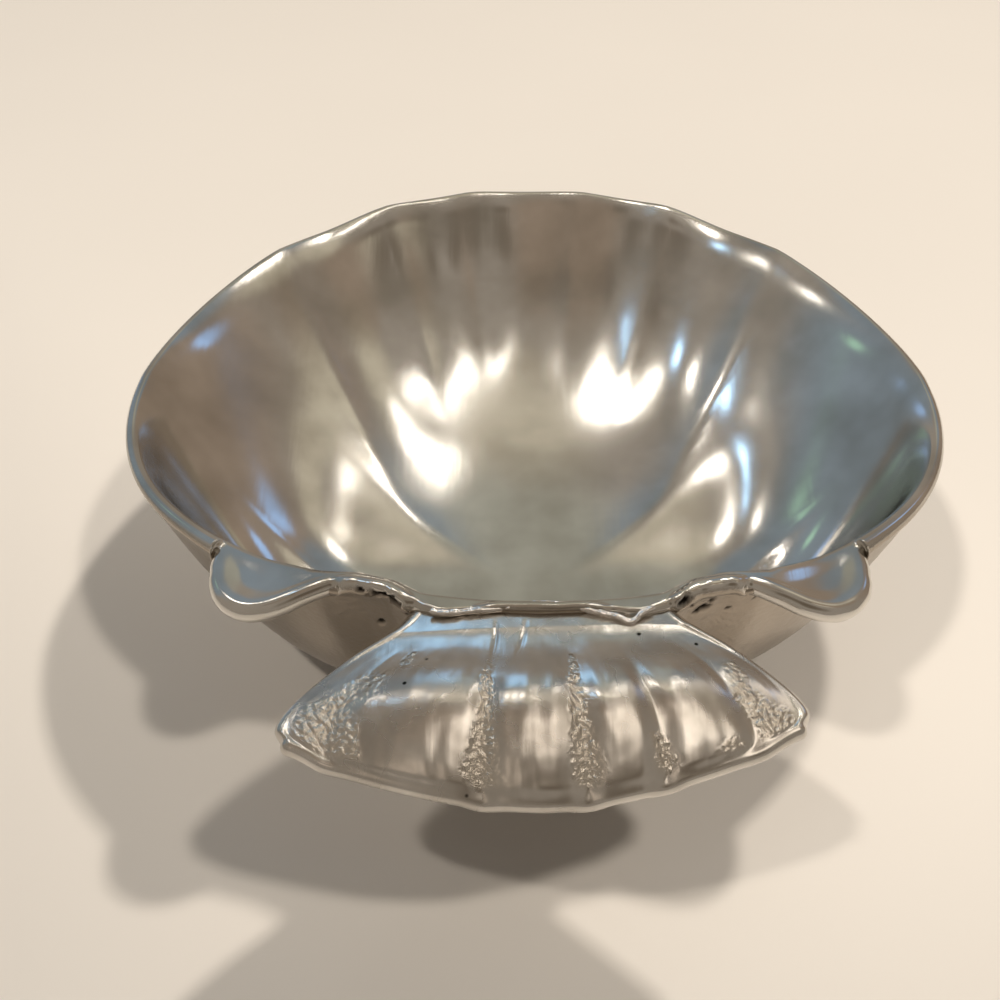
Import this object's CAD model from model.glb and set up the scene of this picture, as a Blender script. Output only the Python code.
import math
import bpy
from mathutils import Matrix, Vector, noise


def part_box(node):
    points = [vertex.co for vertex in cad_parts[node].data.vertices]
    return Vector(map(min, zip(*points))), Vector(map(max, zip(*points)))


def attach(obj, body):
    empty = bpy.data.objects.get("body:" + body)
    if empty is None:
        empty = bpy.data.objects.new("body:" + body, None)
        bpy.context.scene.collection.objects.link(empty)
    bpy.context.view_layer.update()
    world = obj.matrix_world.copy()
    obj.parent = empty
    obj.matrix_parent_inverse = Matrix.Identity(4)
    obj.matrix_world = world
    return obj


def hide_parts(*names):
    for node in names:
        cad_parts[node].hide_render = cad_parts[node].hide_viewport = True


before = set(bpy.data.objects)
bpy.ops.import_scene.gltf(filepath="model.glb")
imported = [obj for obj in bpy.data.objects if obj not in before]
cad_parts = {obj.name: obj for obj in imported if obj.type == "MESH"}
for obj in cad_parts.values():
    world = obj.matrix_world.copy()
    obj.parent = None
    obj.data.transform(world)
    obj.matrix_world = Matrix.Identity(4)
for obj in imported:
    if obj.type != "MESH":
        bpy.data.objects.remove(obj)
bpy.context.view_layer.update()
print("frame loaded")

mm = 0.001
up = Vector((0, 0, 1))


# small helpers for the shapes

def mix(a, b, t):
    return a + (b - a) * t


def smooth(x, low, high):
    t = min(1.0, max(0.0, (x - low) / (high - low)))
    return t * t * (3 - 2 * t)


def between(pairs, mark):
    # smooth curve through (mark, value) pairs, level at both ends
    if mark <= pairs[0][0]:
        return pairs[0][1]
    if mark >= pairs[-1][0]:
        return pairs[-1][1]
    k = next(i for i, pair in enumerate(pairs) if pair[0] > mark)

    def slopeAt(i):
        if i <= 0 or i >= len(pairs) - 1:
            return 0.0
        return (pairs[i + 1][1] - pairs[i - 1][1]) / (pairs[i + 1][0] - pairs[i - 1][0])

    width = pairs[k][0] - pairs[k - 1][0]
    t = (mark - pairs[k - 1][0]) / width
    value = mix(pairs[k - 1][1], pairs[k][1], t * t * (3 - 2 * t))
    value += t * (1 - t) ** 2 * width * slopeAt(k - 1)
    return value - t * t * (1 - t) * width * slopeAt(k)


def softLower(a, b, softness):
    h = min(1.0, max(0.0, 0.5 + (b - a) / (2 * softness)))
    return mix(b, a, h) - softness * h * (1 - h)


def marksBetween(low, high, count, power=1.0):
    return [mix(low, high, (k / count) ** power) for k in range(count + 1)]


def grain(point, size, seed):
    # smooth noise with lumps of a size in mm, between -1 and 1
    return noise.noise(Vector(point) / size + Vector((seed, seed * 0.7, -seed)))


# the bowl's sizes in mm, as it is cast: x to the right, y back from the hinge line, z up from the table
shell = {
    "width": 154.0, "reach": 148.5, "widest": 65.0, "deepest": 46.0, "lip": 4.5,
    "archInset": 2.0, "archTurns": (133.0, 141.0, 146.0, 156.0),
    "floor": 9.5, "wall": 3.0,
    "farRise": 39.0, "hingeRise": 46.0, "lipRise": 41.2, "droop": 2.4, "droopFrom": 34.0, "droopTo": 49.0,
    "flareSoftness": 6.0, "filletSoftness": 16.0,
    "farSteepness": 2.3, "hingeSteepness": 7.0, "steepening": (50.0, 125.0), "rising": (85.0, 135.0),
    "fluteRoot": 20.0, "ridges": (6.0, 15.5, 30.0, 57.0), "notch": 89.0,
    "fluteSag": 0.06, "fluteRoundness": 1.02, "fluteFade": 0.6, "fluteFadeStart": 0.6, "fluteRun": 0.4,
    "fluteStarts": (0.5, 0.5, 0.4, 0.25, 0.15), "fluteClear": (20.0, 48.0),
    "earReach": 10.1,
    "earEdge": ((115.5, 0), (117.5, 0.2), (120.6, 0.53), (125, 0.89), (129.3, 1), (132.3, 0.84), (134.7, 0.46),
                (137.2, 0.16), (141, 0.06), (151, 0.06), (159, 0.23), (163, 0.19), (169, 0.05), (174, 0)),
    "earDish": 0.35, "dishInset": 0.4, "dishSlope": 3.6,
    "edgeWalls": ((0, 2), (70, 2.4), (108, 3), (118, 3.6), (128, 4), (137, 3.4), (152, 3.2), (160, 2), (180, 2)),
    "thinningFrom": 0.86, "edgeBand": 3.0, "creaseShare": 0.8,
}
footPlaces = {"foot_front": (0, 31), "foot_left": (-27, 76), "foot_right": (27, 76)}

low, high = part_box("foot_front")
hingeY = (low[1] + high[1]) / 2 / mm - footPlaces["foot_front"][1]


def place(x, y, z):
    # a place of the casting in the frame's metres
    return Vector((x * mm, (y + hingeY) * mm, z * mm))


def wallReach(dx, dy):
    # from the deepest place to the rim: two half ellipses that meet at the widest place
    side = shell["deepest"] - shell["widest"]

    def hit(half):
        a = (2 * dx / shell["width"]) ** 2 + (dy / half) ** 2
        b = dy * side / half ** 2
        c = (side / half) ** 2 - 1
        return (-b + math.sqrt(b * b - a * c)) / a

    far = hit(shell["reach"] - shell["widest"])
    if far * dy + side > 0:
        return far
    turn = math.degrees(abs(math.atan2(dx, dy)))
    start, deep, deepTo, end = shell["archTurns"]
    arch = shell["archInset"] * smooth(turn, start, deep) * (1 - smooth(turn, deepTo, end))
    return hit(shell["widest"] - shell["lip"]) - arch


def fluteDepth(x, y, share):
    away = math.hypot(x, y - shell["fluteRoot"])
    bearing = abs(math.degrees(math.atan2(x, y - shell["fluteRoot"])))
    marks = (-shell["ridges"][0],) + shell["ridges"] + (shell["notch"],)
    if bearing >= marks[-1]:
        return 0.0
    k = next(i for i, mark in enumerate(marks) if mark > bearing)
    spread = marks[k] - marks[k - 1]
    across = (bearing - marks[k - 1]) / spread
    start = shell["fluteStarts"][k - 1]
    fading = smooth(share, start, start + shell["fluteRun"])
    fading *= 1 - shell["fluteFade"] * smooth(share, shell["fluteFadeStart"], 1)
    fading *= smooth(away, *shell["fluteClear"])
    sag = shell["fluteSag"] * away * math.radians(spread)
    return sag * math.sin(math.pi * across) ** shell["fluteRoundness"] * fading


def earOut(turn):
    return shell["earReach"] * between(shell["earEdge"], math.degrees(abs(turn)))


def bowlHeight(x, y, softness):
    dx = x
    dy = (y - shell["deepest"]) or 1e-6
    away = math.hypot(dx, dy)
    rimAway = wallReach(dx / away, dy / away)
    share = away / rimAway
    turn = abs(math.atan2(dx, dy))
    angle = math.degrees(turn)
    rise = mix(shell["farRise"], shell["hingeRise"], smooth(angle, *shell["rising"]))
    steepness = mix(shell["farSteepness"], shell["hingeSteepness"], smooth(angle, *shell["steepening"]))
    past = away - rimAway - shell["dishInset"]
    short = rimAway + earOut(turn) - away - shell["dishInset"]
    dish = shell["earDish"] * smooth(past, 0, shell["dishSlope"]) * smooth(short, 0, shell["dishSlope"])
    droop = shell["droop"] * smooth(abs(x), shell["droopFrom"], shell["droopTo"])
    wall = softLower(rise * share ** steepness, shell["lipRise"] - droop - dish, softness)
    return shell["floor"] + wall - fluteDepth(x, y, share)


def bowlPoint(turn, share, softness=None):
    # from the deepest place (share 0) to the edge (share 1); turn 0 faces the far rim
    rimAway = wallReach(math.sin(turn), math.cos(turn))
    edge = rimAway + earOut(turn)
    crease = min(rimAway, edge - shell["edgeBand"])
    split = shell["creaseShare"]
    reach = crease * share / split if share < split else mix(crease, edge, (share - split) / (1 - split))
    x = math.sin(turn) * reach
    y = shell["deepest"] + math.cos(turn) * reach
    return Vector((x, y, bowlHeight(x, y, softness or shell["flareSoftness"])))


def softNormal(turn, share):
    step = 1e-3
    soft = shell["filletSoftness"]
    v0, v1 = max(share - step, 0), min(share + step, 1)
    around = bowlPoint(turn + step, share, soft) - bowlPoint(turn - step, share, soft)
    normal = around.cross(bowlPoint(turn, v1, soft) - bowlPoint(turn, v0, soft)).normalized()
    return -normal if normal.z < 0 else normal


def bowlThickness(turn, share):
    edge = between(shell["edgeWalls"], math.degrees(abs(turn)))
    return mix(shell["wall"], edge, smooth(share, shell["thinningFrom"], 1))


# a primitive grid is wrapped round a body: its columns close on themselves or on its edges, and its
# rows run from one pole or edge to the other; marks go with the vertices for the materials

def wrappedGrid(name, columns, rows, pointAt, marks=None):
    bpy.ops.object.select_all(action="DESELECT")
    bpy.ops.mesh.primitive_grid_add(x_subdivisions=columns - 1, y_subdivisions=rows - 1, size=2)
    piece = bpy.context.active_object
    piece.name = name
    piece.data.name = name
    lists = {mark: piece.data.attributes.new(mark, "FLOAT", "POINT") for mark in (marks or {})}
    for corner in piece.data.vertices:
        i = round((corner.co.x + 1) / 2 * (columns - 1))
        j = round((corner.co.y + 1) / 2 * (rows - 1))
        corner.co = pointAt(i, j)
        for mark, values in lists.items():
            values.data[corner.index].value = marks[mark](i, j)
    bpy.ops.object.mode_set(mode="EDIT")
    bpy.ops.mesh.select_all(action="SELECT")
    bpy.ops.mesh.remove_doubles(threshold=2e-6)
    bpy.ops.mesh.normals_make_consistent(inside=False)
    bpy.ops.object.mode_set(mode="OBJECT")
    bpy.ops.object.shade_smooth()
    return piece


# bowl and ears, one casting, with the pits that the sand left in the edge and under it

bowlLook = {
    "columns": 460, "earCrowding": 2.6, "earBelt": (96, 112, 158, 172), "turnSteps": 720,
    "innerRows": 90, "rollRows": 12, "outerRows": 70, "edgeCrowding": 2.2, "edgeBelt": (3.0, 20.0), "traceSteps": 150,
    "wave": 0.05, "waveSize": 12.0, "ripple": 0.013, "rippleSize": 5.0,
    "streak": 0.01, "streakTurn": 4.5, "streakWaves": 4, "streakFrom": 0.25,
    # place across and up, seen from the hinge side, half lengths along and up, depth
    "pits": (((-24.9, 50.0), 2.9, 0.95, 1.0), ((-28.6, 50.6), 0.7, 0.5, 0.4), ((-26.1, 41.0), 0.75, 0.7, 0.5),
             ((22.4, 50.6), 1.3, 0.7, 0.6), ((26.4, 45.0), 1.1, 0.9, 0.65), ((25.0, 44.2), 0.8, 0.5, 0.45),
             ((27.4, 46.6), 0.5, 0.7, 0.4), ((24.2, 46.2), 0.35, 0.4, 0.3), ((-33.6, 47.5), 0.4, 0.35, 0.25),
             ((30.4, 44.0), 0.35, 0.3, 0.25), ((-21.5, 46.0), 0.3, 0.3, 0.2), ((34.5, 46.5), 0.3, 0.25, 0.2)),
    "pitSide": 14.0, "pitEdge": (0.5, 1.2), "pitRag": 0.55, "pitRagSize": 0.7,
    "castSkin": 0.07, "castSkinSize": 1.6, "castSkinTurns": (112.0, 122.0),
    "filed": 0.13, "filedSize": 2.6, "skinFrom": (1.7, 2.6),
}


def crowdedTurns():
    # columns right round the bowl, closer together at the ears
    steps = bowlLook["turnSteps"]
    start, full, fullTo, end = bowlLook["earBelt"]
    marks = [k / steps for k in range(steps + 1)]
    weights = [0.0]
    for mark in marks[1:]:
        angle = abs(360 * (mark - 0.5 / steps) - 180)
        near = smooth(angle, start, full) * (1 - smooth(angle, fullTo, end))
        weights.append(weights[-1] + 1 + bowlLook["earCrowding"] * near)
    turns = []
    k = 0
    for n in range(bowlLook["columns"]):
        goal = weights[-1] * n / (bowlLook["columns"] - 1)
        while k < steps - 1 and weights[k + 1] < goal:
            k += 1
        part = (goal - weights[k]) / (weights[k + 1] - weights[k])
        turns.append(math.radians(360 * (marks[k] + part / steps) - 180))
    return turns


def sharesAlong(turn, count):
    # shares spaced evenly along the wall, and closer together near the edge
    steps = bowlLook["traceSteps"]
    trace = [bowlPoint(turn, k / steps) for k in range(steps + 1)]
    toEdge = [0.0] * (steps + 1)
    for k in range(steps - 1, -1, -1):
        toEdge[k] = toEdge[k + 1] + (trace[k + 1] - trace[k]).length
    weights = [0.0]
    for k in range(steps):
        near = 1 - smooth(toEdge[k], *bowlLook["edgeBelt"])
        weights.append(weights[-1] + (toEdge[k] - toEdge[k + 1]) * (1 + bowlLook["edgeCrowding"] * near))
    shares = []
    k = 0
    for n in range(count + 1):
        goal = weights[-1] * n / count
        while k < steps - 1 and weights[k + 1] < goal:
            k += 1
        shares.append(min(1.0, (k + (goal - weights[k]) / (weights[k + 1] - weights[k])) / steps))
    return shares


def pitting(point):
    # depth of the casting pits at a place, and how far inside one it lies
    depth = 0.0
    inside = 0.0
    if point.y > bowlLook["pitSide"]:
        return depth, inside
    rag = bowlLook["pitRag"] * grain(point, bowlLook["pitRagSize"], 5.3)
    for (x, z), along, tall, deep in bowlLook["pits"]:
        far = math.hypot((point.x - x) / along, (point.z - z) / tall) + rag
        cut = 1 - smooth(far, *bowlLook["pitEdge"])
        depth = max(depth, deep * cut)
        inside = max(inside, cut)
    return depth, inside


def waviness(turn, share, point):
    # long soft waves of the hand-worked pattern, and finer ones drawn out along the flutes
    bearing = math.degrees(math.atan2(point.x, point.y - shell["fluteRoot"]))
    streak = noise.noise(Vector((bearing / bowlLook["streakTurn"], share * bowlLook["streakWaves"], 7.7)))
    fade = smooth(share, 0, bowlLook["streakFrom"])
    waves = bowlLook["wave"] * grain(point, bowlLook["waveSize"], 3.1)
    waves += bowlLook["ripple"] * grain(point, bowlLook["rippleSize"], 8.8)
    return waves + bowlLook["streak"] * streak * fade


def buildBowl():
    turns = crowdedTurns()
    roll = [math.pi * k / bowlLook["rollRows"] for k in range(1, bowlLook["rollRows"])]
    rows = bowlLook["innerRows"] + 1 + len(roll) + bowlLook["outerRows"] + 1
    grid = {}
    pitMarks = {}
    skinMarks = {}
    for i, turn in enumerate(turns):
        inner = sharesAlong(turn, bowlLook["innerRows"])
        outer = sharesAlong(turn, bowlLook["outerRows"])[::-1]
        edge = bowlPoint(turn, 1)
        normal = softNormal(turn, 1)
        along = bowlPoint(turn + 1e-3, 1) - bowlPoint(turn - 1e-3, 1)
        outward = along.cross(normal).normalized()
        if outward.dot(Vector((math.sin(turn), math.cos(turn), 0))) < 0:
            outward = -outward
        radius = bowlThickness(turn, 1) / 2
        for j, share in enumerate(inner):
            point = bowlPoint(turn, share)
            grid[i, j] = point + up * waviness(turn, share, point)
        for j, angle in enumerate(roll, len(inner)):
            outDirection = normal * math.cos(angle) + outward * math.sin(angle)
            point = edge - normal * radius + outDirection * radius
            point += up * waviness(turn, 1, edge) * (1 + math.cos(angle)) / 2
            depth, pitMarks[i, j] = pitting(point)
            filed = smooth(math.degrees(abs(turn)), *bowlLook["castSkinTurns"]) * math.sin(angle)
            depth -= filed * bowlLook["filed"] * grain(point, bowlLook["filedSize"], 2.6)
            skinMarks[i, j] = smooth(angle, *bowlLook["skinFrom"])
            grid[i, j] = point - outDirection * depth
        for j, share in enumerate(outer, len(inner) + len(roll)):
            normal = softNormal(turn, share)
            point = bowlPoint(turn, share) - normal * bowlThickness(turn, share)
            depth, pitMarks[i, j] = pitting(point)
            hingeSide = smooth(math.degrees(abs(turn)), *bowlLook["castSkinTurns"])
            skin = grain(point, bowlLook["castSkinSize"], 1.9)
            skin += 0.5 * grain(point, bowlLook["castSkinSize"] / 2, 2.3)
            skinMarks[i, j] = 1.0
            grid[i, j] = point + normal * (depth + bowlLook["castSkin"] * skin * (0.4 + 0.6 * hingeSide))
    for i in range(len(turns)):
        grid[i, 0] = bowlPoint(0, 0)
        grid[i, rows - 1] = bowlPoint(0, 0) - up * shell["wall"]
        for j in range(rows):
            grid[len(turns) - 1, j] = grid[0, j]
    marks = {"pit": lambda i, j: pitMarks.get((i, j), 0.0), "outside": lambda i, j: skinMarks.get((i, j), 0.0)}
    return wrappedGrid("bowl_shell", len(turns), rows, lambda i, j: place(*grid[i, j]), marks)


bowl = buildBowl()
print("bowl made", len(bowl.data.polygons))


# bosses under the bowl, each with a fillet where it meets the wall, bored for a spigot

boss = {"wall": 2.0, "drop": 2.0, "spigotWidth": 4.5, "spigotLength": 3.0, "gap": 0.3, "fillet": 1.4, "round": 0.4,
        "skirt": 1.2, "boreRounds": (0.2, 0.25), "columns": 64}


def bossFace(x, y):
    return bowlHeight(x, y, shell["flareSoftness"]) - shell["wall"] - boss["drop"]


def turned(name, x, y, profile, columns, sunk=0.0):
    # a body of revolution from (radius, height) pairs; sunk keeps it that far under the bowl's inside
    def corner(i, j):
        radius, height = profile[j]
        angle = 2 * math.pi * i / (columns - 1) if i < columns - 1 else 0.0
        spotX, spotY = x + radius * math.cos(angle), y + radius * math.sin(angle)
        if sunk:
            height = min(height, bowlHeight(spotX, spotY, shell["flareSoftness"]) - sunk)
        return place(spotX, spotY, height)
    return wrappedGrid(name, columns, len(profile), corner)


def rounded(profile, sizes, steps=6):
    # rounds the corners of a profile, each by its own size in mm
    path = [profile[0]]
    for before, here, after, size in zip(profile, profile[1:], profile[2:], sizes):
        here = Vector(here)
        into, out = (Vector(before) - here), (Vector(after) - here)
        size = min(size, into.length / 2, out.length / 2)
        a, b = here + into.normalized() * size, here + out.normalized() * size
        for k in range(steps + 1):
            t = k / steps
            path.append(tuple(a * (1 - t) ** 2 + here * 2 * t * (1 - t) + b * t * t))
    return path + [profile[-1]]


bosses = []
for name, (x, y) in footPlaces.items():
    face = bossFace(x, y)
    hole = boss["spigotWidth"] / 2 + boss["gap"]
    wide = hole + boss["wall"]
    top = bowlHeight(x, y, shell["flareSoftness"]) - shell["wall"] / 2
    depth = face + boss["spigotLength"] + boss["gap"]
    profile = [(0, depth), (hole, depth), (hole, face), (wide, face), (wide, face + boss["drop"]),
               (wide + boss["skirt"], top), (0, top)]
    path = rounded(profile, (*boss["boreRounds"], boss["round"], boss["fillet"], 0.2))
    bosses.append(turned("boss_" + name, x, y, path, boss["columns"], shell["wall"] / 2))
bpy.ops.object.select_all(action="DESELECT")
for part in bosses:
    part.select_set(True)
bowl.select_set(True)
bpy.context.view_layer.objects.active = bowl
bpy.ops.object.join()
print("bosses joined to the bowl", len(bowl.data.polygons))


# fan, the thumb piece: broad polished ribs with the sand's pebbled skin left in the valleys between them

fan = {
    "reach": 27.4, "tipReach": 19.0, "frontBend": 1.7, "skew": 2.2, "lean": 0.8, "tipRound": 1.0, "tipStart": 0.85,
    "width": 75.2, "neckWidth": 35.4,
    "flare": ((0, 0), (0.07, 0.01), (0.28, 0.19), (0.45, 0.49), (0.57, 0.67), (0.72, 0.86), (0.84, 0.97),
              (0.93, 1.0), (1, 0.94)),
    "neckDrop": 1.3, "tipDrop": 3.8, "frontDrop": 7.2, "dome": 6.6, "neckDome": 0.07, "domeSide": 2.6,
    "domeFront": 3.0, "domeFull": 0.65, "wall": 2.8, "neckWall": 5.0, "neckShares": (0.1, 0.5), "cope": 3.5,
    "grooves": (-0.84, -0.25, 0.15, 0.45, 0.8), "grooveDepth": 0.7, "grooveSpread": 0.055,
    "grooveShares": (0.25, 0.7), "tipGrooves": 0.4, "lipGap": 0.7,
}
fanLook = {
    "columns": 300, "rows": 120, "rollRows": 6,
    "pebble": 0.25, "pebbleSize": 0.62, "wave": 0.09, "waveSize": 6.0, "dent": 0.03, "dentSize": 2.2,
    "pad": 0.028, "ribWave": 0.09, "ribWaveSize": 4.5, "ribWaveTurns": (82, 20), "ribsFrom": (0.3, 0.6),
    "roughInset": (0.9, 2.4), "roughEdge": (0.7, 2.1), "roughRag": 0.012, "roughRagSize": 1.3, "edgeBelt": (0.1, 1.6),
    "crease": 0.08, "creaseWidth": 0.016, "creases": ((-0.36, 0.17, -0.27, 0.5), (-0.12, 0.17, -0.17, 0.48)),
    "rim": 0.16, "rimWidth": 0.75,
    # rough places: path of (across, share), half widths at its ends
    "rough": ((((-0.97, 0.80), (-0.88, 0.74), (-0.84, 0.68), (-0.80, 0.62)), 0.03, 0.05),
              (((-0.90, 0.86), (-0.84, 0.80), (-0.83, 0.94)), 0.05, 0.05),
              (((-0.76, 0.84), (-0.74, 0.92)), 0.03, 0.03),
              (((-0.74, 0.42), (-0.72, 0.47)), 0.012, 0.02),
              (((-0.29, 0.50), (-0.25, 0.66), (-0.24, 0.80), (-0.25, 0.92), (-0.23, 1.0)), 0.012, 0.055),
              (((0.16, 0.42), (0.13, 0.60), (0.14, 0.77), (0.15, 0.87), (0.15, 1.0)), 0.012, 0.045),
              (((0.43, 0.84), (0.45, 0.93), (0.47, 1.0)), 0.02, 0.035),
              (((0.90, 0.58), (0.83, 0.72), (0.86, 0.86), (0.90, 0.93)), 0.015, 0.05),
              (((0.70, 0.95), (0.76, 0.97)), 0.03, 0.02)),
}


def fanPoint(across, share):
    side = abs(across)
    corner = fan["tipRound"] * smooth(side, fan["tipStart"], 1)
    reach = mix(fan["reach"], fan["tipReach"], side ** fan["frontBend"]) - corner
    y = mix(shell["lip"] + fan["cope"], -reach, share)
    out = max(0, -y) / reach
    flare = between(fan["flare"], share)
    x = across * mix(fan["neckWidth"] / 2, fan["width"] / 2, flare) - fan["lean"] * flare
    drop = mix(fan["neckDrop"], mix(fan["frontDrop"], fan["tipDrop"], across * across), out)
    swell = mix(fan["neckDome"], 1, smooth(out, 0, fan["domeFull"])) * (1 - out ** fan["domeFront"])
    dome = fan["dome"] * (1 - side ** fan["domeSide"]) * swell
    groove = 0.0
    for mark in fan["grooves"]:
        deep = fan["tipGrooves"] if abs(mark) > 0.7 else 1
        groove += deep * math.exp(-((across - mark) / fan["grooveSpread"]) ** 2)
    cut = fan["grooveDepth"] * groove * smooth(out, *fan["grooveShares"])
    point = Vector((x, y, shell["floor"] + shell["lipRise"] - drop + dome - cut))
    return Matrix.Rotation(math.radians(fan["skew"]), 3, "Z") @ point


def neckShare(across):
    # where the fan's sheet meets the bowl's lip
    x = across * fan["neckWidth"] / 2
    lip = bowlPoint(math.atan2(x, shell["lip"] - shell["deepest"]), 1)
    low, high = 0.0, 0.5
    for step in range(20):
        middle = (low + high) / 2
        if fanPoint(across, middle).y > lip.y - fan["lipGap"]:
            low = middle
        else:
            high = middle
    return high


def roughness(across, share):
    # how much of the sand's skin is left at a place of the fan, from 0 to 1
    most = 0.0
    for path, thin, wide in fanLook["rough"]:
        last = len(path) - 2
        for k, (a, b) in enumerate(zip(path, path[1:])):
            du, dv = b[0] - a[0], b[1] - a[1]
            t = ((across - a[0]) * du + (share - a[1]) * dv) / (du * du + dv * dv)
            t = min(1.0, max(0.0, t))
            away = math.hypot(across - a[0] - t * du, share - a[1] - t * dv)
            half = mix(thin, wide, (k + t) / (last + 1))
            most = max(most, 1 - smooth(away / half, *fanLook["roughEdge"]))
    return most


def fanCell(across, share):
    # point, normal, outward directions and wall of the fan's top sheet
    step = 1e-3
    u0, u1 = max(across - step, -1), min(across + step, 1)
    v0, v1 = max(share - step, 0), min(share + step, 1)
    alongU = (fanPoint(u1, share) - fanPoint(u0, share)).normalized()
    alongV = (fanPoint(across, v1) - fanPoint(across, v0)).normalized()
    normal = alongU.cross(alongV).normalized()
    if normal.z < 0:
        normal = -normal
    wall = mix(fan["neckWall"], fan["wall"], smooth(share, *fan["neckShares"]))
    return fanPoint(across, share), normal, alongU, alongV, wall


def ribPad(across):
    # each rib between two valleys swells a little
    marks = (-1,) + fan["grooves"] + (1,)
    k = next((i for i, mark in enumerate(marks) if mark > across), len(marks) - 1)
    wide = marks[k] - marks[k - 1]
    return fanLook["pad"] * wide * fan["width"] / 2 * math.sin(math.pi * max(0.0, across - marks[k - 1]) / wide)


def fanRelief(across, share, point):
    # pebbles in the rough places, swelling and soft dents on the ribs, and a thin raised line round the edge
    toSide = (1 - abs(across)) * fan["width"] / 2
    toFront = (1 - share) * (fan["reach"] + shell["lip"])
    toEdge = min(toSide, toFront)
    rag, ragSize = fanLook["roughRag"], fanLook["roughRagSize"]
    rough = roughness(across + rag * grain(point, ragSize, 8.1), share + rag * grain(point, ragSize, 4.4))
    rough *= smooth(toEdge, *fanLook["roughInset"])
    size = fanLook["pebbleSize"]
    pebbles = grain(point, size, 6.2) + 0.6 * grain(point, size * 0.55, 2.8)
    wide, long = (turns / fanLook["ribWaveSize"] for turns in fanLook["ribWaveTurns"])
    flowing = noise.noise(Vector((across * wide, share * long, 9.1)))
    out = smooth(share, *fanLook["ribsFrom"])
    height = rough * fanLook["pebble"] * (pebbles - 0.5)
    height += out * ribPad(across)
    dents = fanLook["wave"] * grain(point, fanLook["waveSize"], 5.9)
    dents += fanLook["dent"] * grain(point, fanLook["dentSize"], 3.3)
    height += (1 - rough) * (dents + out * fanLook["ribWave"] * flowing)
    height *= smooth(toEdge, *fanLook["edgeBelt"])
    for u0, v0, u1, v1 in fanLook["creases"]:
        t = (share - v0) / (v1 - v0)
        away = (across - mix(u0, u1, t)) / fanLook["creaseWidth"]
        height -= fanLook["crease"] * math.exp(-away * away) * smooth(t, 0, 0.15) * (1 - smooth(t, 0.6, 1))
    return height + fanLook["rim"] * math.exp(-(toEdge / fanLook["rimWidth"]) ** 2), rough


def buildFan():
    quarter = [math.pi / 2 * k / fanLook["rollRows"] for k in range(fanLook["rollRows"] + 1)]
    across = [(-1, -angle) for angle in reversed(quarter[1:])]
    across += [(u, 0) for u in marksBetween(-1, 1, fanLook["columns"])] + [(1, a) for a in quarter[1:]]
    top = [(k / fanLook["rows"], 0, 1) for k in range(fanLook["rows"] + 1)]
    top += [(1, angle, 1) for angle in quarter[1:]]
    under = [(v, angle, -1) for v, angle, face in reversed(top[:-1])]
    # a plain end face closes the neck
    rows = [(0, 0, 0)] + top + under + [(0, 0, 0)]
    grid = {}
    rough = {}
    for i, (u, turnU) in enumerate(across):
        start = neckShare(u)
        cells = {}
        for j, (v, turnV, face) in enumerate(rows):
            share = mix(start, 1, v)
            if v not in cells:
                cells[v] = fanCell(u, share)
            point, normal, alongU, alongV, wall = cells[v]
            radius = wall / 2
            crossV = normal.cross(alongU)
            if crossV.dot(alongV) < 0:
                crossV = -crossV
            # a quarter ball at the two corners, so that top and underside meet in one line
            lean = alongU * math.sin(turnU) + crossV * (math.cos(turnU) * math.sin(turnV))
            level = math.cos(turnU) * math.cos(turnV)
            height = 0.0
            if face > 0:
                height, rough[i, j] = fanRelief(u, share, point)
            elif face < 0:
                height = fanLook["wave"] * grain(point, fanLook["dentSize"], 7.7)
            grid[i, j] = point + lean * radius + normal * (radius * (face * level - 1) + face * level * height)
    marks = {"rough": lambda i, j: rough.get((i, j), 0.0)}
    return wrappedGrid("fan_shell", len(across), len(rows), lambda i, j: place(*grid[i, j]), marks)


fanPiece = buildFan()
print("fan made", len(fanPiece.data.polygons))


# braze, run by hand along the lip: two ragged lines side by side

braze = {
    "radius": 0.55,
    "path": ((-17.4, 2.7, 50.6), (-15.2, 2.3, 50.4), (-11.0, 2.7, 50.5), (-6.6, 3.2, 50.5), (-1.6, 4.0, 50.6),
             (3.4, 3.8, 50.6), (8.3, 2.7, 50.4), (11.4, 1.7, 50.2), (13.7, 0.9, 50.0), (15.3, 2.2, 50.6),
             (17.4, 3.2, 50.8)),
    "steps": 200, "sides": 36, "endPower": 16, "crease": 0.26, "creaseTurn": 0.4, "creaseWander": 0.5,
    "wanderSize": 4.0, "lump": 0.22, "lumpSize": 1.3, "fine": 0.09, "fineSize": 0.5,
}


def buildBraze():
    curves = [[(k, spot[axis]) for k, spot in enumerate(braze["path"])] for axis in range(3)]
    last = len(braze["path"]) - 1

    def centre(t):
        return Vector([between(curve, min(max(t, 0), 1) * last) for curve in curves])

    columns = braze["sides"] + 1
    rows = braze["steps"] + 1
    grid = {}
    for j in range(rows):
        t = j / (rows - 1)
        middle = centre(t)
        along = (centre(t + 0.01) - centre(t - 0.01)).normalized()
        side = along.cross(up).normalized()
        lift = side.cross(along)
        ends = math.sqrt(max(0.0, 1 - (2 * t - 1) ** braze["endPower"]))
        for i in range(columns):
            angle = 2 * math.pi * (i % braze["sides"]) / braze["sides"]
            out = side * math.cos(angle) + lift * math.sin(angle)
            point = middle + out * braze["radius"]
            wander = braze["creaseWander"] * grain(point, braze["wanderSize"], 1.1)
            top = (angle - math.pi / 2 - wander) / braze["creaseTurn"]
            radius = braze["radius"] * (1 - braze["crease"] * math.exp(-top * top))
            radius += braze["lump"] * grain(point, braze["lumpSize"], 2.2)
            radius += braze["fine"] * grain(point, braze["fineSize"], 6.6)
            grid[i, j] = middle + out * radius * ends
    return wrappedGrid("braze_bead", columns, rows, lambda i, j: place(*grid[i, j]))


bead = buildBraze()
print("braze made", len(bead.data.polygons))


# feet: turned pegs with eased corners and fine tool rings

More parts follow.
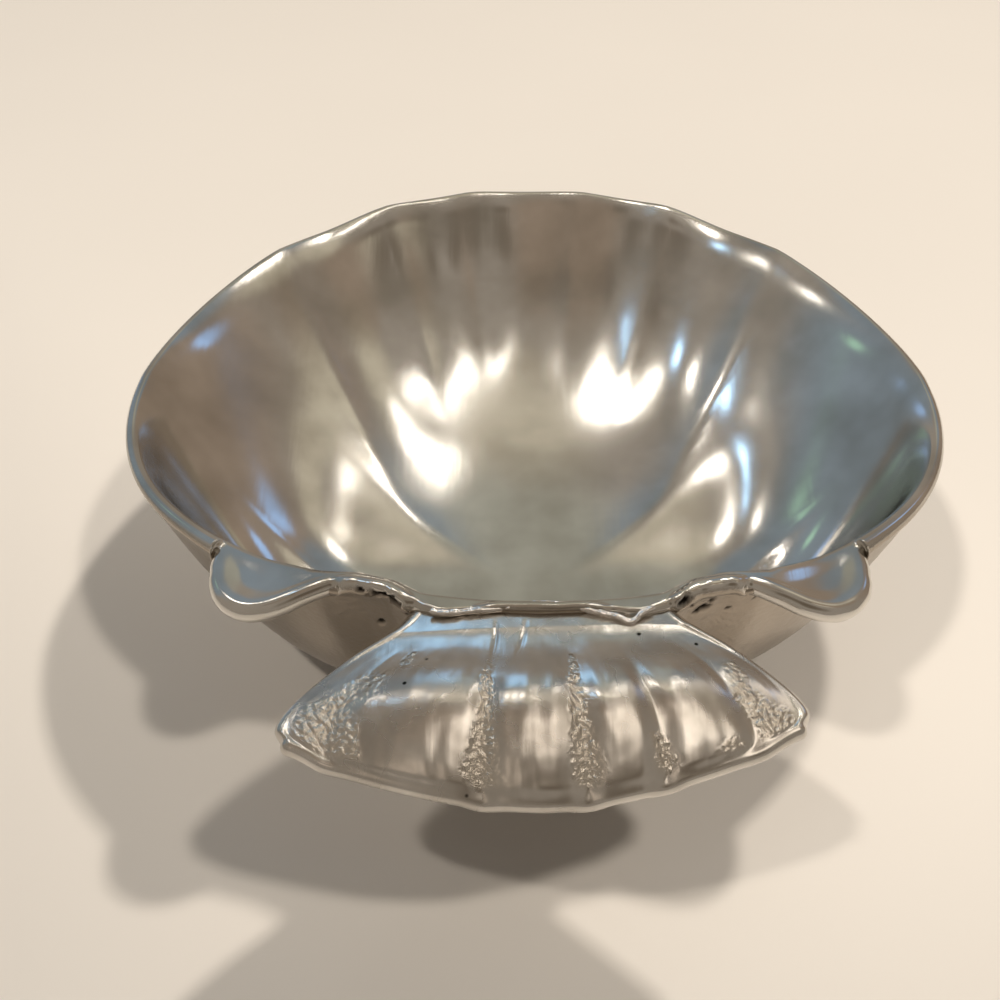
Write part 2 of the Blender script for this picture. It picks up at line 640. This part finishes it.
foot = {"width": 12.0, "baseWidth": 8.0, "waist": 0.42, "columns": 96, "base": 0.5, "belly": 1.6, "shoulder": 0.5,
        "spigotRounds": (0.15, 0.4), "ring": 0.008, "ringPitch": 0.4, "spacing": 0.12}


def buildFoot(name):
    x, y = footPlaces[name]
    shoulder = bossFace(x, y) - boss["gap"]
    spigot = boss["spigotWidth"] / 2
    wide = spigot + boss["gap"] + boss["wall"]
    top = shoulder + boss["spigotLength"]
    corners = [(0, 0), (foot["baseWidth"] / 2, 0), (foot["width"] / 2, shoulder * foot["waist"]), (wide, shoulder),
               (spigot, shoulder), (spigot, top), (0, top)]
    path = rounded(corners, (foot["base"], foot["belly"], foot["shoulder"], *foot["spigotRounds"]), 10)
    finer = []
    for (r0, z0), (r1, z1) in zip(path, path[1:]):
        count = max(1, round(math.hypot(r1 - r0, z1 - z0) / foot["spacing"]))
        finer += [(mix(r0, r1, k / count), mix(z0, z1, k / count)) for k in range(count)]
    finer.append(path[-1])
    tooled = [(max(0.0, r + foot["ring"] * math.sin(2 * math.pi * z / foot["ringPitch"])) if r > 0.5 else r, z)
              for r, z in finer]
    return turned(name + "_peg", x, y, tooled, foot["columns"])


feet = {name: buildFoot(name) for name in footPlaces}
print("feet made")


# camera at the photo's height and angle, in mm in the casting's own places

view = {"place": (-6.57, -119.0, 181.0), "down": 41.5, "lens": 41.4}
bpy.ops.object.camera_add(location=place(*view["place"]), rotation=(math.radians(90 - view["down"]), 0, 0))
camera = bpy.context.active_object
camera.data.lens = view["lens"]
camera.data.sensor_width = 36
camera.data.clip_start = 0.01
bpy.context.scene.camera = camera


# materials

def linear(code, strength=1.0):
    # an sRGB hex colour as the shader wants it
    parts = [int(code[k:k + 2], 16) / 255 for k in (0, 2, 4)]
    return [strength * (c / 12.92 if c <= 0.04045 else ((c + 0.055) / 1.055) ** 2.4) for c in parts] + [1]


def addNode(tree, kind, settings=None, links=None):
    # adds a node; settings are sockets by name or number or plain properties, links are {socket: (node, output)}
    node = tree.nodes.new(kind)
    for name, value in (settings or {}).items():
        if isinstance(name, int) or name in node.inputs:
            node.inputs[name].default_value = value
        else:
            setattr(node, name, value)
    for name, (source, output) in (links or {}).items():
        tree.links.new(source.outputs[output], node.inputs[name])
    return node


def newMaterial(name):
    material = bpy.data.materials.new(name)
    material.use_nodes = True
    tree = material.node_tree
    return material, tree, tree.nodes["Principled BSDF"]


def ranged(tree, source, output, low, high, outLow, outHigh):
    settings = {"From Min": low, "From Max": high, "To Min": outLow, "To Max": outHigh}
    return addNode(tree, "ShaderNodeMapRange", settings, {"Value": (source, output)})


def blended(tree, factor, factorOutput, a, b, links=None):
    # colour mix; a and b are hex colours, or None where a link gives them
    node = addNode(tree, "ShaderNodeMix", {"data_type": "RGBA"})
    tree.links.new(factor.outputs[factorOutput], node.inputs[0])
    for socket, code in ((6, a), (7, b)):
        if code:
            node.inputs[socket].default_value = linear(code)
    for socket, (source, output) in (links or {}).items():
        tree.links.new(source.outputs[output], node.inputs[socket])
    return node


def castAluminium(name, look):
    # sand-cast aluminium, buffed by hand: hazy mirror with clouds where the mop pressed less, fine
    # buffing lines, pin pits, and the dull sand skin where no mop reached
    material, tree, shader = newMaterial(name)
    shader.inputs["Metallic"].default_value = 1
    where = addNode(tree, "ShaderNodeTexCoord")
    clouds = addNode(tree, "ShaderNodeTexNoise", {"Scale": 1000 / look["cloudSize"], "Detail": 3.0, "Roughness": 0.45},
                     {"Vector": (where, "Object")})
    tone = blended(tree, ranged(tree, clouds, "Fac", 0.25, 0.75, 0, 1), "Result", look["tint"], look["hazeTint"])
    rough = ranged(tree, clouds, "Fac", 0.25, 0.75, *look["roughness"])
    lines = addNode(tree, "ShaderNodeMapping", {"Scale": look["lineScale"]}, {"Vector": (where, "Object")})
    buffing = addNode(tree, "ShaderNodeTexNoise", {"Scale": 1.0, "Detail": 3.0}, {"Vector": (lines, "Vector")})
    lineBump = addNode(tree, "ShaderNodeBump", {"Strength": look["lineStrength"], "Distance": 0.00006},
                       {"Height": (buffing, "Fac")})
    lastBump = lineBump
    if look.get("skin"):
        # dull sand skin, told by a mark of the vertices
        mark = addNode(tree, "ShaderNodeAttribute", {"attribute_name": look["skin"]})
        sand = addNode(tree, "ShaderNodeTexNoise", {"Scale": 1000 / look["sandSize"], "Detail": 3.0},
                       {"Vector": (where, "Object")})
        depth = addNode(tree, "ShaderNodeMath", {"operation": "MULTIPLY"}, {0: (sand, "Fac"), 1: (mark, "Fac")})
        lastBump = addNode(tree, "ShaderNodeBump", {"Strength": look["sandStrength"], "Distance": look["sandDepth"]},
                           {"Height": (depth, "Value"), "Normal": (lineBump, "Normal")})
        tone = blended(tree, mark, "Fac", None, look["skinTint"], {6: (tone, 2)})
        rough = addNode(tree, "ShaderNodeMix", {3: look["skinRoughness"]}, {0: (mark, "Fac"), 2: (rough, "Result")})
    if look.get("pins"):
        cells = addNode(tree, "ShaderNodeTexVoronoi", {"Scale": 1000 / look["pins"]}, {"Vector": (where, "Object")})
        pin = ranged(tree, cells, "Distance", 0.03, 0.06, 1, 0)
        tone = blended(tree, pin, "Result", None, "2B2620", {6: (tone, 2)})
    if look.get("pit"):
        pit = addNode(tree, "ShaderNodeAttribute", {"attribute_name": look["pit"]})
        tone = blended(tree, pit, "Fac", None, "1D1813", {6: (tone, 2)})
        rough = addNode(tree, "ShaderNodeMix", {3: 0.75}, {0: (pit, "Fac"), 2: (rough, "Result")})
    tree.links.new(tone.outputs[2], shader.inputs["Base Color"])
    tree.links.new(rough.outputs["Result"], shader.inputs["Roughness"])
    tree.links.new(lastBump.outputs["Normal"], shader.inputs["Normal"])
    return material


def tablePaint():
    # smooth pale laminate, warm white
    material, tree, shader = newMaterial("pale_table")
    shader.inputs["Roughness"].default_value = 0.45
    where = addNode(tree, "ShaderNodeTexCoord")
    clouds = addNode(tree, "ShaderNodeTexNoise", {"Scale": 9.0, "Detail": 2.0}, {"Vector": (where, "Object")})
    tone = blended(tree, clouds, "Fac", "E8E3DC", "ECE7E0")
    tree.links.new(tone.outputs[2], shader.inputs["Base Color"])
    return material


bowlMetal = castAluminium("buffed_cast_aluminium", {
    "tint": "E8E5E0", "hazeTint": "BAB5AC", "cloudSize": 15, "roughness": (0.11, 0.22),
    "lineScale": (900, 60, 90), "lineStrength": 0.18,
    "skin": "outside", "sandSize": 0.9, "sandStrength": 0.5, "sandDepth": 0.0002,
    "skinTint": "A0968A", "skinRoughness": 0.28, "pit": "pit",
})
fanMetal = castAluminium("polished_ribs_over_sand_skin", {
    "tint": "DCD8D2", "hazeTint": "B4AEA6", "cloudSize": 7, "roughness": (0.17, 0.32),
    "lineScale": (1500, 120, 120), "lineStrength": 0.22,
    "skin": "rough", "sandSize": 0.7, "sandStrength": 1.0, "sandDepth": 0.0003,
    "skinTint": "CFC8BD", "skinRoughness": 0.26, "pins": 7.0,
})
brazeMetal = castAluminium("aluminium_braze", {
    "tint": "EFECE8", "hazeTint": "D2CCC6", "cloudSize": 2.5, "roughness": (0.12, 0.3),
    "lineScale": (900, 900, 900), "lineStrength": 0.25,
})
footMetal = castAluminium("turned_aluminium", {
    "tint": "D3CFC8", "hazeTint": "C2BDB5", "cloudSize": 6, "roughness": (0.2, 0.34),
    "lineScale": (120, 120, 2600), "lineStrength": 0.3,
})
dressed = [(bowl, "bowl", "bowl_metal", bowlMetal), (fanPiece, "fan", "fan_metal", fanMetal),
           (bead, "hinge_braze", "braze_metal", brazeMetal)]
dressed += [(piece, name, "foot_metal", footMetal) for name, piece in feet.items()]
for piece, node, slot, material in dressed:
    piece.data.materials.clear()
    piece.data.materials.append(material)
    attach(piece, "root")
    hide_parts(node)
print("dressed")


# table and light

bpy.ops.mesh.primitive_plane_add(size=8, location=(0, 0, 0))
table = bpy.context.active_object
table.name = "table"
table.data.materials.append(tablePaint())

# soft lamps: where they hang in mm over the dish, width and depth in mm, watts, colour, and what takes
# their light: the table alone, or the metal alone as a mirrored shape, or of the metal only the fan and its braze
lamps = {
    "fill": ((0, 0, 2000), 2200, 2200, 5.0, "F4F1EE", "table"),
    "frontFill": ((-300, -1500, 500), 1600, 700, 6.0, "F6EEE4", "table"),
    "lampLeft": ((930, -560, 2000), 140, 140, 16.0, "FFF5E8", "table"),
    "lampBack": ((854, 890, 2000), 140, 140, 27.0, "FFF5E8", "table"),
    "leftStreak": ((192, 225, 1000), 22, 210, 0.16, "FFF8EE", "metal"),
    "leftPool": ((300, 480, 1000), 150, 70, 0.36, "FFF8EE", "metal"),
    "rightPool": ((-185, 245, 1000), 110, 80, 0.3, "FFF8EE", "metal"),
    "farPool": ((-590, 430, 1000), 100, 60, 0.15, "FFF8EE", "metal"),
    "bluePane": ((-405, 195, 1000), 66, 40, 0.12, "A4D4FF", "metal"),
    "frontPanel": ((290, -430, 1000), 620, 380, 1.1, "FFF3E4", "fan"),
    "sidePanel": ((260, -60, 1000), 420, 260, 0.2, "FFF3E4", "fan"),
    "backPanel": ((720, 640, 1000), 320, 420, 0.36, "FFF3E4", "fan"),
    "lowPanel": ((-300, -960, 1000), 240, 260, 0.1, "FFE9D2", "fan"),
    "neckPane": ((-160, 1050, 1000), 260, 700, 0.8, "86C4F6", "fan"),
}
# a third lamp over the table, whose cone has a soft edge that leaves the nearest left part of it dimmer
cone = {"spot": (-790, -580, 2000), "aim": (330, 534, 0), "turn": 30.3, "blend": 0.12, "radius": 79,
        "watts": 69.0, "tint": "FFF5E8"}


def hang(name, kind, spot, aim, watts, tint):
    bpy.ops.object.light_add(type=kind, location=[c * mm for c in spot])
    lamp = bpy.context.active_object
    lamp.name = name
    lamp.rotation_euler = (lamp.location - Vector(aim) * mm).to_track_quat("Z", "Y").to_euler()
    lamp.data.energy = watts
    lamp.data.color = linear(tint)[:3]
    return lamp


fanOnly = bpy.data.collections.new("lit_by_panels")
fanOnly.objects.link(fanPiece)
fanOnly.objects.link(bead)
for name, (spot, width, depth, watts, tint, takes) in lamps.items():
    lamp = hang(name, "AREA", spot, (0, 0, 0), watts, tint)
    lamp.data.shape = "RECTANGLE"
    lamp.data.size = width * mm
    lamp.data.size_y = depth * mm
    lamp.visible_glossy = takes != "table"
    lamp.visible_diffuse = takes == "table"
    if takes == "fan":
        lamp.light_linking.receiver_collection = fanOnly
lamp = hang("lampRight", "SPOT", cone["spot"], cone["aim"], cone["watts"], cone["tint"])
lamp.data.spot_size = math.radians(cone["turn"])
lamp.data.spot_blend = cone["blend"]
lamp.data.shadow_soft_size = cone["radius"] * mm
lamp.visible_glossy = False

# the plain surround that the metal mirrors: a few tones, laid as soft patches, each towards a direction and
# between two angles in degrees
surround = {
    "light": 1.45,
    "tones": {"base": "827A70", "dark": "5A5044", "warm": "807264", "pale": "B0A896", "grey": "908F84",
              "cool": "727C84", "blue": "9CBCE8", "green": "A0C8B0"},
    "patches": (((-0.1, -0.25, 1), 6, 16, "warm"), ((0.75, 0, 1), 6, 14, "warm"),
                ((0.45, -0.15, 1), 3, 4, "dark"), ((-0.25, -0.1, 1), 3, 4, "dark"),
                ((0.2, -0.25, 1), 3, 4, "dark"), ((-0.45, -0.2, 1), 3, 4, "dark"),
                ((0.6, -0.2, 1), 3, 5, "pale"), ((0.05, 0.3, 1), 5, 13, "pale"), ((0.55, 0.3, 1), 4, 12, "pale"),
                ((3, 2.4, 1), 16, 40, "warm"), ((0.1, 0.85, 1), 8, 20, "grey"),
                ((-0.45, 0.9, 1), 7, 15, "cool"), ((0.5, 0.95, 1), 6, 15, "cool"),
                ((-1.9, 1.4, 1), 14, 34, "cool"), ((0.3, -1, 1), 8, 22, "dark"),
                ((1.25, 0.95, 1), 3, 6, "blue"), ((-2.9, 3.6, 1), 2, 5, "blue"), ((-1.3, 0.9, 1), 1, 4, "green")),
}
world = bpy.data.worlds.new("surround")
bpy.context.scene.world = world
world.use_nodes = True
tree = world.node_tree
world.cycles_visibility.diffuse = False
background = tree.nodes["Background"]
where = addNode(tree, "ShaderNodeTexCoord")
tone = addNode(tree, "ShaderNodeRGB")
tone.outputs[0].default_value = linear(surround["tones"]["base"], surround["light"])
output = 0
for direction, inner, outer, name in surround["patches"]:
    facing = addNode(tree, "ShaderNodeVectorMath", {"operation": "DOT_PRODUCT", 1: Vector(direction).normalized()},
                     {0: (where, "Generated")})
    part = ranged(tree, facing, "Value", math.cos(math.radians(outer)), math.cos(math.radians(inner)), 0, 1)
    part.interpolation_type = "SMOOTHSTEP"
    patch = blended(tree, part, "Result", None, None, {6: (tone, output)})
    patch.inputs[7].default_value = linear(surround["tones"][name], surround["light"])
    tone, output = patch, 2
tree.links.new(tone.outputs[output], background.inputs["Color"])
bpy.context.scene.view_settings.view_transform = "Standard"
print("lit")
